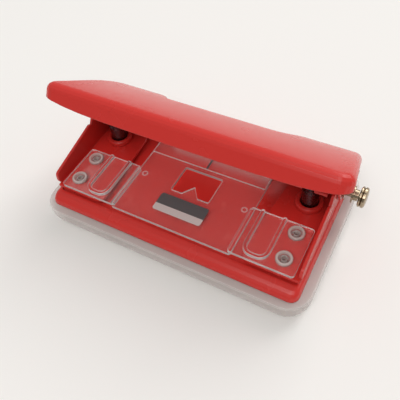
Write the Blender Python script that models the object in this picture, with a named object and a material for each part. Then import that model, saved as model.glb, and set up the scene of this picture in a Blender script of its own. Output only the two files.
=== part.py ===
"""Two-hole desk punch: a red sheet-steel punch with a clear paper guide and a clear chip tray.

The part stands on the table at Z = 0, with its paper side towards -Y and its knob towards +X.
It is modelled with the handle raised, as its springs hold it.
"""

import math

import bmesh
import bpy
from mathutils import Matrix, Vector

# Clearances and shared settings
GAP = 0.0003
CUT_OVERRUN = 0.002
MERGE = 0.000001
RUNNING_GAP = 0.00025
ARC_STEPS = 5
ROUND_STEPS = 32
FINE_STEPS = 20

# Paper and holes
HOLE_SPAN = 0.080
HOLE_RADIUS = 0.003
HOLE_SETBACK = 0.012
HOLE_Y = 0.0065
PAPER_SLOT = 0.0012

# Chip tray
TRAY_HALF_WIDTH = 0.053
TRAY_HALF_DEPTH = 0.032
TRAY_CORNER = 0.0085
TRAY_HEIGHT = 0.0087
TRAY_WALL = 0.0012
TRAY_FLARE = 0.0045
TRAY_RISE = 0.0055
TRAY_LEDGE = 0.0062

# Base plate
BASE_HALF_WIDTH = 0.0496
BASE_HALF_DEPTH = 0.029
BASE_CORNER = 0.0032
BASE_SHEET = 0.0012
BASE_HEIGHT = 0.0032
LIP_SIDE = 0.002
LIP_FRONT = 0.005
LIP_REAR = 0.0016
LIP_STEP = 0.001
LIP_ROUND_SHARE = 0.8

# Punch frame
FRAME_SHEET = 0.001
WALL_HALF_WIDTH = 0.0486
WALL_FRONT_Y = -0.0237
WALL_LENGTH = 0.0502
WALL_HEIGHT = 0.0139
FOOT_DEPTH = 0.0045
FLANGE_FRONT_Y = -0.0238
FLANGE_REAR_Y = 0.0125
FLANGE_INNER_FRONT = 0.0275
FLANGE_INNER_REAR = 0.030
FLANGE_CORNER = 0.003
WEB_TOP_Z = 0.021
WEB_SIDE_Z = 0.0177
WEB_MIDDLE_X = 0.0245
WEB_CORNER = 0.002
FOOT_INNER_X = 0.026
# Side wall outline: shares of its length from the front, shares of its height above the
# paper slot, and corner radii as shares of its height
WALL_OUTLINE_SHARES = (
    (0.0, 0.0, 0.22),
    (0.018, 0.43, 0.12),
    (0.470, 0.790, 0.03),
    (0.492, 0.745, 0.03),
    (0.532, 0.952, 0.08),
    (0.780, 1.0, 0.25),
    (0.895, 0.83, 0.25),
    (0.975, 0.47, 0.25),
    (1.0, 0.0, 0.04),
)

# Paper stop
STOP_DEPTH = 0.003
STOP_HEIGHT = 0.0014
STOP_HALF_WIDTH = 0.0465

# Rivets that hold the frame to the base
RIVET_RADIUS = 0.0009
RIVET_HEAD_RADIUS = 0.0015
RIVET_HEAD_HEIGHT = 0.0007
RIVET_OUTER_X = 0.0425
RIVET_INNER_X = 0.0345

# Clear paper guide
GUIDE_SHEET = 0.0011
GUIDE_HALF_WIDTH = 0.024
GUIDE_FRONT_Y = -0.0237
GUIDE_LIFT = 0.001
GUIDE_CORNER = 0.0008
GUIDE_STEP = 0.0012
WING_OUTER_X = 0.0461
WING_REAR_Y = -0.004
WING_CORNER = 0.0012
BAND_FRONT_Y = 0.0057
BAND_DEPTH = 0.0053
BAND_RISE = 0.0004
WINDOW_HALF_WIDTH = 0.0078
WINDOW_FRONT_Y = -0.0079
WINDOW_DEPTH = 0.0117
WINDOW_CORNER = 0.0006
POINTER_HALF_WIDTH = 0.0033
POINTER_LENGTH = 0.0044
RIB_X = 0.0316
RIB_HALF_WIDTH = 0.0046
RIB_WALL = 0.0012
RIB_FRONT_Y = -0.0226
RIB_RISE = 0.0013
RIB_CORNER = 0.0036

# Clear rivets that hold the guide's wings
STUD_X = 0.041
STUD_FRONT_Y = -0.0189
STUD_REAR_Y = -0.0083
STUD_RADIUS = 0.0013
STUD_HEAD_RADIUS = 0.0029
STUD_HEAD_HEIGHT = 0.0009
STUD_RIM = 0.0008
STUD_BORE = 0.0009

# Screws at the guide's rear edge
SCREW_X = 0.014
SCREW_RADIUS = 0.0008
SCREW_HEAD_RADIUS = 0.0023
SCREW_HEAD_HEIGHT = 0.0014
SCREW_SLOT_WIDTH = 0.0006
SCREW_SLOT_DEPTH = 0.0006
SCREW_TAIL = 0.0008

# Punch guide bushes
BUSH_FLANGE_RADIUS = 0.005
BUSH_NECK_RADIUS = 0.0042
BUSH_HEIGHT = 0.0018
BUSH_EDGE = 0.0004

# Hinge and handle travel
PIVOT_Y = 0.022
PIVOT_Z = 0.020
HANDLE_TRAVEL = math.radians(23)
AXLE_RADIUS = 0.0012
AXLE_HEAD_RADIUS = 0.002
AXLE_HEAD_HEIGHT = 0.001
CLIP_RADIUS = 0.00205
CLIP_SHEET = 0.0006
CLIP_MOUTH = 0.0013
GROOVE_DEPTH = 0.00035
GROOVE_END = 0.0006

# Handle cover
LID_TILT = math.radians(34)
LID_RISE = 0.0081
LID_FRONT = 0.041
LID_BEND_START = 0.018
LID_BEND_RADIUS = 0.095
LID_REAR = 0.0105
LID_SHEET = 0.001
LID_HALF_WIDTH = 0.0554
LID_KNEE = 0.002
LID_KNEE_HALF_WIDTH = 0.0514
LID_KNEE_CORNER = 0.060
LID_REAR_HALF_WIDTH = 0.0509
LID_FRONT_CORNER = 0.005
LID_REAR_CORNER = 0.0065
LID_SKIRT = 0.0048
LID_SKIRT_REAR = 0.004
LID_SKIRT_FRONT = 0.0076
LID_EDGE = 0.0028
LID_BEND_CUTS = 5
# Places along the front edge, as shares of its straight length, and how flat its arch is
LID_FRONT_EDGE_SHARES = (0.05, 0.12, 0.22, 0.36, 0.5, 0.64, 0.78, 0.88, 0.95)
LID_ARCH_POWER = 5
NOTCH_HALF_WIDTH = 0.0235
NOTCH_FLOOR = 0.0075
NOTCH_CORNER = 0.0045
LOBE_INNER_X = 0.031
LOBE_CORNER = 0.006

# Cheeks under the cover
CHEEK_GAP = 0.0003
CHEEK_SHEET = 0.0008
CHEEK_BOSS_RADIUS = 0.0044
CHEEK_TOP_FRONT = 0.024
CHEEK_REAR = 0.0012
CHEEK_SEAM_DROP = 0.0006
CHEEK_FLANGE_LENGTH = 0.006
CHEEK_TOE_Y = 0.0124
CHEEK_TOE_DROP = 0.0028
CHEEK_TOE_CORNER = 0.0015
CHEEK_KNEE_Y = 0.0168
CHEEK_KNEE_RISE = 0.0058
CHEEK_SHIN_Y = 0.0172
CHEEK_SHIN_RISE = 0.014

# Press bar under the cover
BAR_END_CLEARANCE = 0.0013
BAR_SHEET = 0.001
BAR_FRONT_Y = 0.0016
BAR_REAR_Y = 0.0146
BAR_LOW_Z = 0.0178
BAR_TOP_LENGTH = 0.009
BAR_WEB_TOP = 0.0106
BAR_CORNER = 0.0008
FORK_CLEARANCE = 0.0004

# Punches
PUNCH_TIP_Z = 0.0137
PUNCH_TRAVEL = 0.00565
PUNCH_NECK_RADIUS = 0.0016
PUNCH_CONE_HEIGHT = 0.0008
PUNCH_NECK_LENGTH = 0.0033
PUNCH_HEAD_RADIUS = 0.0026
PUNCH_HEAD_HEIGHT = 0.0009
PUNCH_TIP_HOLLOW = 0.0007

# Return springs
SPRING_X = 0.0345
SPRING_WIRE = 0.00045
SPRING_RADIUS = 0.0025
SPRING_PITCH = 0.0014
SPRING_TURNS = 5
SPRING_POINTS = 10

# Lock pin and its bush
LOCK_Y = 0.0118
LOCK_Z = 0.0202
LOCK_TRAVEL = 0.0022
LOCK_PIN_RADIUS = 0.0012
LOCK_TIP_CLEARANCE = 0.0007
LOCK_BUSH_RADIUS = 0.0019
LOCK_BUSH_HEAD_RADIUS = 0.0025
LOCK_BUSH_HEAD = 0.0005
LOCK_COLLAR_RADIUS = 0.003
LOCK_COLLAR = 0.0006
LOCK_NECK_RADIUS = 0.002
LOCK_NECK = 0.0014
KNOB_RADIUS = 0.0036
KNOB_LENGTH = 0.0026
KNOB_EDGE = 0.0006
KNOB_GROOVE = 0.0005
TAIL_LENGTH = 0.0014

# Heights that follow
BASE_FOOT_Z = TRAY_HEIGHT + GAP
BASE_TOP_Z = BASE_FOOT_Z + BASE_HEIGHT
BED_Z = BASE_TOP_Z - LIP_STEP
BED_UNDER_Z = BED_Z - BASE_SHEET
SLOT_TOP_Z = BASE_TOP_Z + PAPER_SLOT
FLANGE_TOP_Z = SLOT_TOP_Z + FRAME_SHEET
FOOT_Z = BED_Z + GAP
FOOT_TOP_Z = FOOT_Z + FRAME_SHEET
STOP_FACE_Y = HOLE_Y + HOLE_SETBACK
STOP_REAR_Y = STOP_FACE_Y + STOP_DEPTH
STOP_TOP_Z = FOOT_Z + STOP_HEIGHT
WALL_INNER_X = WALL_HALF_WIDTH - FRAME_SHEET
WALL_FOOT_Z = BASE_TOP_Z + GAP
FOOT_OUTER_X = BASE_HALF_WIDTH - BASE_CORNER * 0.95
WALL_REAR_Y = WALL_FRONT_Y + WALL_LENGTH
FOOT_FRONT_Y = WALL_REAR_Y - FOOT_DEPTH
RIVET_Y = FOOT_FRONT_Y + FOOT_DEPTH / 2 - FRAME_SHEET / 2
GUIDE_Z = BASE_TOP_Z + GUIDE_LIFT
GUIDE_TOP_Z = GUIDE_Z + GUIDE_SHEET
GUIDE_REAR_Y = STOP_REAR_Y + GAP
SCREW_Y = STOP_FACE_Y + STOP_DEPTH / 2
WING_Z = FLANGE_TOP_Z + GAP
WING_TOP_Z = WING_Z + GUIDE_SHEET
BAR_HALF_WIDTH = WALL_INNER_X - BAR_END_CLEARANCE
LOCK_TIP_X = BAR_HALF_WIDTH + LOCK_TIP_CLEARANCE
CHEEK_INNER_X = WALL_HALF_WIDTH + CHEEK_GAP
CHEEK_OUTER_X = CHEEK_INNER_X + CHEEK_SHEET
LOCK_BUSH_FACE_X = CHEEK_OUTER_X + GAP
COLLAR_X = LOCK_BUSH_FACE_X + LOCK_BUSH_HEAD + LOCK_TRAVEL
NECK_X = COLLAR_X + LOCK_COLLAR
KNOB_X = NECK_X + LOCK_NECK
PIVOT = Vector((0, PIVOT_Y, PIVOT_Z))

# Finishes: colour, roughness, metallic, alpha
FINISHES = {
    "red_enamel": ((0.60, 0.030, 0.026), 0.32, 0.0, 1.0),
    "clear_styrene": ((0.90, 0.93, 0.94), 0.08, 0.0, 0.30),
    "bright_steel": ((0.56, 0.57, 0.58), 0.28, 1.0, 1.0),
    "nickel_plate": ((0.62, 0.57, 0.48), 0.16, 1.0, 1.0),
    "spring_steel": ((0.40, 0.40, 0.41), 0.35, 1.0, 1.0),
}


def clear_scene():
    """Remove the objects that the scene starts with."""
    for obj in list(bpy.data.objects):
        bpy.data.objects.remove(obj, do_unlink=True)


def finish_material(name):
    """Return the named finish, made on its first use."""
    found = bpy.data.materials.get(name)
    if found:
        return found
    colour, roughness, metallic, alpha = FINISHES[name]
    made = bpy.data.materials.new(name)
    made.use_nodes = True
    shader = made.node_tree.nodes["Principled BSDF"]
    shader.inputs["Base Color"].default_value = (*colour, 1.0)
    shader.inputs["Roughness"].default_value = roughness
    shader.inputs["Metallic"].default_value = metallic
    shader.inputs["Alpha"].default_value = alpha
    return made


def place(name, bm, finish, origin=Vector()):
    """Turn a bmesh into an object whose origin lies at the given point."""
    bmesh.ops.remove_doubles(bm, verts=bm.verts, dist=MERGE)
    bmesh.ops.translate(bm, vec=-origin, verts=bm.verts)
    bmesh.ops.recalc_face_normals(bm, faces=bm.faces)
    mesh = bpy.data.meshes.new(name)
    bm.to_mesh(mesh)
    bm.free()
    mesh.shade_smooth()
    mesh.set_sharp_from_angle(angle=math.radians(30))
    obj = bpy.data.objects.new(name, mesh)
    obj.location = origin
    obj.data.materials.append(finish_material(finish))
    bpy.context.scene.collection.objects.link(obj)
    return obj


def helper(name, bm, finish="red_enamel"):
    """Make an object that only serves a Boolean."""
    obj = place(name, bm, finish)
    obj.hide_render = True
    obj.display_type = "WIRE"
    return obj


def boolean(obj, other, operation):
    """Add an exact Boolean of another object."""
    modifier = obj.modifiers.new(other.name, "BOOLEAN")
    modifier.operation = operation
    modifier.solver = "EXACT"
    modifier.object = other


def even_facets():
    """Split the faces that the Booleans leave into well-shaped triangles."""
    for obj in bpy.data.objects:
        if obj.modifiers and not obj.hide_render:
            facets = obj.modifiers.new("facets", "TRIANGULATE")
            facets.quad_method = "BEAUTY"
            facets.ngon_method = "BEAUTY"


def rounded(corners, steps=ARC_STEPS):
    """Return the outline of a polygon of (a, b, radius) corners, each turned into an arc."""
    points = []
    count = len(corners)
    for index, (a, b, radius) in enumerate(corners):
        corner = Vector((a, b))
        before = Vector(corners[index - 1][:2]) - corner
        after = Vector(corners[(index + 1) % count][:2]) - corner
        half = before.angle(after) / 2
        reach = radius / math.tan(half)
        centre = corner + (before.normalized() + after.normalized()).normalized() * (radius / math.sin(half))
        start = corner + before.normalized() * reach - centre
        end = corner + after.normalized() * reach - centre
        sweep = math.atan2(start.x * end.y - start.y * end.x, start.dot(end))
        for step in range(steps + 1):
            turn = sweep * step / steps
            points.append(
                (
                    centre.x + start.x * math.cos(turn) - start.y * math.sin(turn),
                    centre.y + start.x * math.sin(turn) + start.y * math.cos(turn),
                )
            )
    return points


def inset(corners, distance):
    """Move every edge of an anticlockwise polygon inwards, with the corner radii following."""
    moved = []
    count = len(corners)
    for index, (a, b, radius) in enumerate(corners):
        corner = Vector((a, b))
        along_in = (corner - Vector(corners[index - 1][:2])).normalized()
        along_out = (Vector(corners[(index + 1) % count][:2]) - corner).normalized()
        normal_in = Vector((-along_in.y, along_in.x))
        normal_out = Vector((-along_out.y, along_out.x))
        turn = along_in.x * along_out.y - along_in.y * along_out.x
        shift = (normal_in + normal_out) / (1 + normal_in.dot(normal_out)) * distance
        point = corner + shift
        moved.append((point.x, point.y, radius - math.copysign(distance, turn)))
    return moved


def box_corners(half_width, front, rear, radius):
    """Return the anticlockwise corners of a rounded rectangle."""
    return [
        (-half_width, front, radius),
        (half_width, front, radius),
        (half_width, rear, radius),
        (-half_width, rear, radius),
    ]


def level(outline, height):
    """Lift a plan outline to one height."""
    return [Vector((x, y, height)) for x, y in outline]


def add_loft(bm, rings):
    """Skin a stack of rings of equal count and cap its ends."""
    rows = [[bm.verts.new(point) for point in ring] for ring in rings]
    for low, high in zip(rows, rows[1:]):
        for index in range(len(low)):
            follow = (index + 1) % len(low)
            bm.faces.new((low[index], low[follow], high[follow], high[index]))
    bm.faces.new(rows[0])
    bm.faces.new(rows[-1])


def add_prism(bm, outline, low, high, across=False):
    """Extrude an outline upwards, or sideways along X when it is drawn in the YZ plane."""
    if across:
        ring = [bm.verts.new((low, a, b)) for a, b in outline]
        travel = Vector((high - low, 0, 0))
    else:
        ring = [bm.verts.new((a, b, low)) for a, b in outline]
        travel = Vector((0, 0, high - low))
    face = bm.faces.new(ring)
    grown = bmesh.ops.extrude_face_region(bm, geom=[face])["geom"]
    moved = [item for item in grown if isinstance(item, bmesh.types.BMVert)]
    bmesh.ops.translate(bm, vec=travel, verts=moved)
    bm.faces.ensure_lookup_table()


def add_turned(bm, profile, centre, axis="Z", steps=ROUND_STEPS):
    """Spin a profile of (radius, height) points about an axis through the centre."""
    if axis == "Z":
        spots = [Vector(centre) + Vector((radius, 0, height)) for radius, height in profile]
        direction = Vector((0, 0, 1))
    else:
        spots = [Vector(centre) + Vector((height, radius, 0)) for radius, height in profile]
        direction = Vector((1, 0, 0))
    verts = [bm.verts.new(spot) for spot in spots]
    edges = [bm.edges.new(pair) for pair in zip(verts, verts[1:])]
    if profile[0][0] > 0 and profile[-1][0] > 0:
        edges.append(bm.edges.new((verts[-1], verts[0])))
    bmesh.ops.spin(
        bm,
        geom=verts + edges,
        cent=Vector(centre),
        axis=direction,
        dvec=Vector(),
        angle=math.tau,
        steps=steps,
        use_merge=True,
        use_duplicate=False,
    )


def cylinder_profile(radius, low, high):
    """Return the profile of a plain cylinder."""
    return [(0, low), (radius, low), (radius, high), (0, high)]


def cut_cylinders(obj, name, radius, places, low, high, axis="Z"):
    """Drill equal holes at the given places."""
    bm = bmesh.new()
    for spot in places:
        add_turned(bm, cylinder_profile(radius, low, high), spot, axis)
    boolean(obj, helper(name, bm), "DIFFERENCE")


def both_sides(x, y, z=0.0):
    """Return a place and its mirror image."""
    return [Vector((-x, y, z)), Vector((x, y, z))]


def chip_tray():
    """Shallow clear tray that clips under the base and catches the chips."""

    def ring(inward, height):
        corners = box_corners(TRAY_HALF_WIDTH, -TRAY_HALF_DEPTH, TRAY_HALF_DEPTH, TRAY_CORNER)
        return level(rounded(inset(corners, inward)), height)

    rings = []
    for step in range(ARC_STEPS + 1):
        turn = math.pi / 2 * step / ARC_STEPS
        rings.append(ring(TRAY_FLARE * (1 - math.sin(turn)), TRAY_RISE * (1 - math.cos(turn))))
    rings.append(ring(0, TRAY_HEIGHT - TRAY_WALL / 3))
    rings.append(ring(TRAY_WALL / 3, TRAY_HEIGHT))
    rings.append(ring(TRAY_LEDGE, TRAY_HEIGHT))
    rings.append(ring(TRAY_LEDGE, TRAY_HEIGHT - TRAY_WALL))
    rings.append(ring(TRAY_WALL, TRAY_HEIGHT - TRAY_WALL))
    for step in range(ARC_STEPS, -1, -1):
        turn = math.pi / 2 * step / ARC_STEPS
        inward = TRAY_WALL + TRAY_FLARE * (1 - math.sin(turn))
        rings.append(ring(inward, TRAY_WALL + (TRAY_RISE - TRAY_WALL) * (1 - math.cos(turn))))
    bm = bmesh.new()
    add_loft(bm, rings)
    return place("chip_tray", bm, "clear_styrene")


def base_plate():
    """Pressed bed with a rolled lip all round, a sunk bed and the two die holes."""

    def ring(side, front, rear, height):
        half_width = BASE_HALF_WIDTH - side
        near = -BASE_HALF_DEPTH + front
        far = BASE_HALF_DEPTH - rear
        radius = BASE_CORNER - side
        return level(rounded(box_corners(half_width, near, far, radius)), height)

    rings = [
        ring(BASE_SHEET, BASE_SHEET, BASE_SHEET, BED_UNDER_Z),
        ring(BASE_SHEET, BASE_SHEET, BASE_SHEET, BASE_FOOT_Z),
    ]
    for step in range(ARC_STEPS + 1):
        turn = math.pi / 2 * step / ARC_STEPS
        share = LIP_ROUND_SHARE * (1 - math.cos(turn))
        height = BASE_FOOT_Z + BASE_HEIGHT * math.sin(turn)
        rings.append(ring(LIP_SIDE * share, LIP_FRONT * share, LIP_REAR * share, height))
    rings.append(ring(LIP_SIDE, LIP_FRONT, LIP_REAR, BASE_TOP_Z))
    rings.append(ring(LIP_SIDE + GAP, LIP_FRONT + GAP, LIP_REAR + GAP, BED_Z))
    bm = bmesh.new()
    add_loft(bm, rings)
    obj = place("base_plate", bm, "red_enamel")
    low = BASE_FOOT_Z - CUT_OVERRUN
    high = BASE_TOP_Z + CUT_OVERRUN
    cut_cylinders(obj, "cut_dies", HOLE_RADIUS + RUNNING_GAP, both_sides(HOLE_SPAN / 2, HOLE_Y), low, high)
    rivets = both_sides(RIVET_OUTER_X, RIVET_Y) + both_sides(RIVET_INNER_X, RIVET_Y)
    cut_cylinders(obj, "cut_base_rivets", RIVET_RADIUS + GAP, rivets, low, high)
    cut_cylinders(obj, "cut_base_screws", SCREW_RADIUS + GAP, both_sides(SCREW_X, SCREW_Y), low, high)
    return obj


def wall_outline():
    """Outline of a side wall in the YZ plane, with its foot behind the paper stop."""
    corners = [
        (WALL_FRONT_Y + along * WALL_LENGTH, SLOT_TOP_Z + up * WALL_HEIGHT, radius * WALL_HEIGHT)
        for along, up, radius in WALL_OUTLINE_SHARES
    ]
    corners[-1] = (WALL_REAR_Y, WALL_FOOT_Z, GAP)
    corners.append((FOOT_FRONT_Y, WALL_FOOT_Z, GAP))
    corners.append((FOOT_FRONT_Y, SLOT_TOP_Z, GAP))
    return rounded(corners)


def punch_frame():
    """Pressed frame: two side walls with ears, throat flanges, a rear web and two feet."""
    bm = bmesh.new()
    outline = wall_outline()
    add_prism(bm, outline, -WALL_HALF_WIDTH, -WALL_INNER_X, across=True)
    add_prism(bm, outline, WALL_INNER_X, WALL_HALF_WIDTH, across=True)
    obj = place("punch_frame", bm, "red_enamel")

    tuck = FRAME_SHEET / 2
    bm = bmesh.new()
    web_half = WALL_INNER_X + tuck
    half_web = [
        (FOOT_OUTER_X, FOOT_Z, GAP),
        (FOOT_OUTER_X, WALL_FOOT_Z + GAP, GAP),
        (web_half, WALL_FOOT_Z + GAP, GAP),
        (web_half, WEB_SIDE_Z, GAP),
        (WEB_MIDDLE_X, WEB_SIDE_Z, WEB_CORNER / 2),
        (WEB_MIDDLE_X, WEB_TOP_Z, WEB_CORNER / 2),
    ]
    web = half_web + [(-x, z, radius) for x, z, radius in reversed(half_web)]
    add_prism(bm, rounded(web), WALL_REAR_Y - FRAME_SHEET, WALL_REAR_Y - FRAME_SHEET / 5)
    turn = Matrix(((1, 0, 0), (0, 0, 1), (0, 1, 0)))
    bmesh.ops.transform(bm, matrix=turn.to_4x4(), verts=bm.verts)
    boolean(obj, helper("add_web", bm), "UNION")

    bm = bmesh.new()
    for side in (-1, 1):
        foot = [
            (side * FOOT_INNER_X, FOOT_FRONT_Y, FLANGE_CORNER / 2),
            (side * (FOOT_OUTER_X - tuck), FOOT_FRONT_Y, GAP),
            (side * (FOOT_OUTER_X - tuck), WALL_REAR_Y - tuck, GAP),
            (side * FOOT_INNER_X, WALL_REAR_Y - tuck, GAP),
        ]
        add_prism(bm, rounded(foot), FOOT_Z, FOOT_TOP_Z)
        flange = [
            (side * FLANGE_INNER_FRONT, FLANGE_FRONT_Y, FLANGE_CORNER),
            (side * (WALL_INNER_X + tuck), FLANGE_FRONT_Y, GAP),
            (side * (WALL_INNER_X + tuck), FLANGE_REAR_Y, GAP),
            (side * FLANGE_INNER_REAR, FLANGE_REAR_Y, FLANGE_CORNER),
        ]
        add_prism(bm, rounded(flange), SLOT_TOP_Z, FLANGE_TOP_Z)
    boolean(obj, helper("add_flanges", bm), "UNION")

    low = SLOT_TOP_Z - CUT_OVERRUN
    high = FLANGE_TOP_Z + CUT_OVERRUN
    cut_cylinders(obj, "cut_bush_seats", BUSH_NECK_RADIUS + GAP, both_sides(HOLE_SPAN / 2, HOLE_Y), low, high)
    studs = both_sides(STUD_X, STUD_FRONT_Y) + both_sides(STUD_X, STUD_REAR_Y)
    cut_cylinders(obj, "cut_flange_studs", STUD_RADIUS + GAP, studs, low, high)
    rivets = both_sides(RIVET_OUTER_X, RIVET_Y) + both_sides(RIVET_INNER_X, RIVET_Y)
    cut_cylinders(obj, "cut_foot_rivets", RIVET_RADIUS + GAP, rivets, FOOT_Z - CUT_OVERRUN, FOOT_TOP_Z + CUT_OVERRUN)
    wall = WALL_HALF_WIDTH + CUT_OVERRUN
    cut_cylinders(obj, "cut_wall_pivots", AXLE_RADIUS + GAP, [PIVOT], -wall, wall, "X")
    lock = Vector((WALL_INNER_X, LOCK_Y, LOCK_Z))
    cut_cylinders(obj, "cut_wall_lock", LOCK_BUSH_RADIUS + GAP, [lock], -CUT_OVERRUN, CUT_OVERRUN, "X")
    return obj


def paper_stop():
    """Bar behind the dies that the paper's edge is pushed against."""
    bm = bmesh.new()
    corners = box_corners(STOP_HALF_WIDTH, STOP_FACE_Y, STOP_REAR_Y, STOP_HEIGHT / 4)
    add_prism(bm, rounded(corners), FOOT_Z, STOP_TOP_Z)
    obj = place("paper_stop", bm, "red_enamel")
    low = FOOT_Z - CUT_OVERRUN
    cut_cylinders(obj, "cut_stop_screws", SCREW_RADIUS + GAP, both_sides(SCREW_X, SCREW_Y), low, STOP_TOP_Z + CUT_OVERRUN)
    return obj


def frame_rivet(name, spot):
    """Rivet through one of the frame's feet and the bed."""
    bm = bmesh.new()
    head = FOOT_TOP_Z + GAP
    foot = BED_UNDER_Z - GAP
    profile = [
        (0, foot - RIVET_HEAD_HEIGHT),
        (RIVET_HEAD_RADIUS * 0.7, foot - RIVET_HEAD_HEIGHT),
        (RIVET_HEAD_RADIUS, foot),
        (RIVET_RADIUS, foot),
        (RIVET_RADIUS, head),
        (RIVET_HEAD_RADIUS, head),
        (RIVET_HEAD_RADIUS * 0.7, head + RIVET_HEAD_HEIGHT),
        (0, head + RIVET_HEAD_HEIGHT),
    ]
    add_turned(bm, profile, spot, steps=FINE_STEPS)
    return place(name, bm, "bright_steel")


def guide_rib(side):
    """U-shaped rib on a wing, open towards the rear."""
    wide = RIB_HALF_WIDTH
    thin = RIB_HALF_WIDTH - RIB_WALL
    rear = WING_REAR_Y - GAP
    outer = [
        (-wide, rear, GAP),
        (-wide, RIB_FRONT_Y, RIB_CORNER),
        (wide, RIB_FRONT_Y, RIB_CORNER),
        (wide, rear, GAP),
    ]
    inner = [
        (thin, rear, GAP),
        (thin, RIB_FRONT_Y + RIB_WALL, RIB_CORNER - RIB_WALL),
        (-thin, RIB_FRONT_Y + RIB_WALL, RIB_CORNER - RIB_WALL),
        (-thin, rear, GAP),
    ]
    return [(side * (RIB_X + x), y) for x, y in rounded(outer + inner)]


def paper_guide():
    """One clear moulding: centre plate, two raised wings with ribs, and a sight window."""
    bm = bmesh.new()
    plate = box_corners(GUIDE_HALF_WIDTH, GUIDE_FRONT_Y, GUIDE_REAR_Y, GUIDE_CORNER)
    add_prism(bm, rounded(plate), GUIDE_Z, GUIDE_TOP_Z)
    obj = place("paper_guide", bm, "clear_styrene")

    bm = bmesh.new()
    inner = GUIDE_HALF_WIDTH - GUIDE_STEP
    for side in (-1, 1):
        step = [
            (side * inner, GUIDE_FRONT_Y + GUIDE_SHEET / 2, GAP),
            (side * (GUIDE_HALF_WIDTH + GAP), GUIDE_FRONT_Y + GUIDE_SHEET / 2, GAP),
            (side * (GUIDE_HALF_WIDTH + GAP), WING_REAR_Y - GUIDE_SHEET / 2, GAP),
            (side * inner, WING_REAR_Y - GUIDE_SHEET / 2, GAP),
        ]
        add_prism(bm, rounded(step), GUIDE_Z + GAP, WING_TOP_Z - GAP)
    boolean(obj, helper("add_steps", bm), "UNION")

    bm = bmesh.new()
    for side in (-1, 1):
        wing = [
            (side * (GUIDE_HALF_WIDTH - GUIDE_STEP / 2), GUIDE_FRONT_Y, GAP),
            (side * WING_OUTER_X, GUIDE_FRONT_Y, WING_CORNER),
            (side * WING_OUTER_X, WING_REAR_Y, WING_CORNER),
            (side * (GUIDE_HALF_WIDTH - GUIDE_STEP / 2), WING_REAR_Y, GAP),
        ]
        add_prism(bm, rounded(wing), WING_Z, WING_TOP_Z)
    boolean(obj, helper("add_wings", bm), "UNION")

    bm = bmesh.new()
    for side in (-1, 1):
        add_prism(bm, guide_rib(side), WING_TOP_Z - GUIDE_SHEET / 2, WING_TOP_Z + RIB_RISE)
    band = box_corners(GUIDE_HALF_WIDTH - GAP, BAND_FRONT_Y, BAND_FRONT_Y + BAND_DEPTH, GAP)
    add_prism(bm, rounded(band), GUIDE_TOP_Z - GUIDE_SHEET / 2, GUIDE_TOP_Z + BAND_RISE)
    boolean(obj, helper("add_ribs", bm), "UNION")

    bm = bmesh.new()
    far = WINDOW_FRONT_Y + WINDOW_DEPTH
    window = [
        (-WINDOW_HALF_WIDTH, WINDOW_FRONT_Y, WINDOW_CORNER),
        (-POINTER_HALF_WIDTH, WINDOW_FRONT_Y, WINDOW_CORNER / 2),
        (0, WINDOW_FRONT_Y + POINTER_LENGTH, WINDOW_CORNER / 4),
        (POINTER_HALF_WIDTH, WINDOW_FRONT_Y, WINDOW_CORNER / 2),
        (WINDOW_HALF_WIDTH, WINDOW_FRONT_Y, WINDOW_CORNER),
        (WINDOW_HALF_WIDTH, far, WINDOW_CORNER),
        (-WINDOW_HALF_WIDTH, far, WINDOW_CORNER),
    ]
    add_prism(bm, rounded(window), GUIDE_Z - CUT_OVERRUN, WING_TOP_Z + CUT_OVERRUN)
    boolean(obj, helper("cut_window", bm), "DIFFERENCE")

    low = GUIDE_Z - CUT_OVERRUN
    high = WING_TOP_Z + RIB_RISE + CUT_OVERRUN
    studs = both_sides(STUD_X, STUD_FRONT_Y) + both_sides(STUD_X, STUD_REAR_Y)
    cut_cylinders(obj, "cut_wing_studs", STUD_RADIUS + GAP, studs, low, high)
    cut_cylinders(obj, "cut_guide_screws", SCREW_RADIUS + GAP, both_sides(SCREW_X, SCREW_Y), low, high)
    return obj


def guide_stud(name, spot):
    """Clear rivet with a dished head, through a wing and a throat flange."""
    bm = bmesh.new()
    head = WING_TOP_Z + GAP
    top = head + STUD_HEAD_HEIGHT
    floor = head + STUD_HEAD_HEIGHT / 2
    profile = [
        (0, SLOT_TOP_Z + GAP),
        (STUD_RADIUS, SLOT_TOP_Z + GAP),
        (STUD_RADIUS, head),
        (STUD_HEAD_RADIUS, head),
        (STUD_HEAD_RADIUS, top - STUD_HEAD_HEIGHT / 4),
        (STUD_HEAD_RADIUS - STUD_HEAD_HEIGHT / 4, top),
        (STUD_HEAD_RADIUS - STUD_RIM, top),
        (STUD_HEAD_RADIUS - STUD_RIM - STUD_HEAD_HEIGHT / 4, floor),
        (STUD_BORE, floor),
        (STUD_BORE, WING_Z),
        (0, WING_Z),
    ]
    add_turned(bm, profile, spot, steps=FINE_STEPS)
    return place(name, bm, "clear_styrene")


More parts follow.
